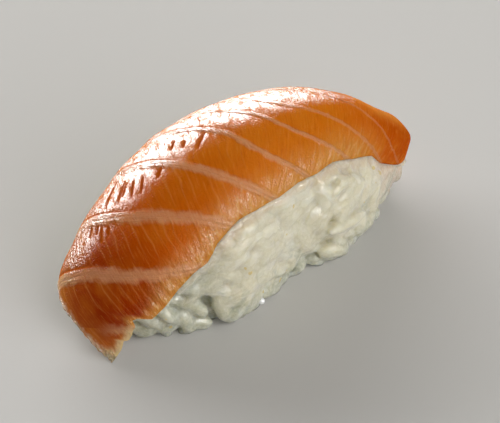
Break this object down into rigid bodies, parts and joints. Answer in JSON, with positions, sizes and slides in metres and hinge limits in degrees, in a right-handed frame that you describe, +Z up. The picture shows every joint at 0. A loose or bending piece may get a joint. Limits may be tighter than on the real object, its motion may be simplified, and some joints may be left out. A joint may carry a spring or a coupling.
{
  "type": "salmon nigiri",
  "caption": "Piece of sushi: a hand-pressed block of rice grains with a slice of raw salmon draped over it, its thin cut end hanging to the table.",
  "frame": {"origin": "on the table, at the middle of the piece's bounding box seen from above", "axes": "+X along the block, towards the slice's thick raised end; +Z up; the slice hangs lowest at the -X end, at the corner on the -Y side"},
  "size_m": [0.0723, 0.0294, 0.0287],
  "materials": {
    "raw_salmon": "moist raw salmon flesh, orange with white fat lines",
    "cooked_rice": "sticky cooked sushi rice, cream white"
  },
  "bodies": {
    "root": {"salmon_slice": "raw_salmon", "rice_block": "cooked_rice"}
  },
  "joints": []
}
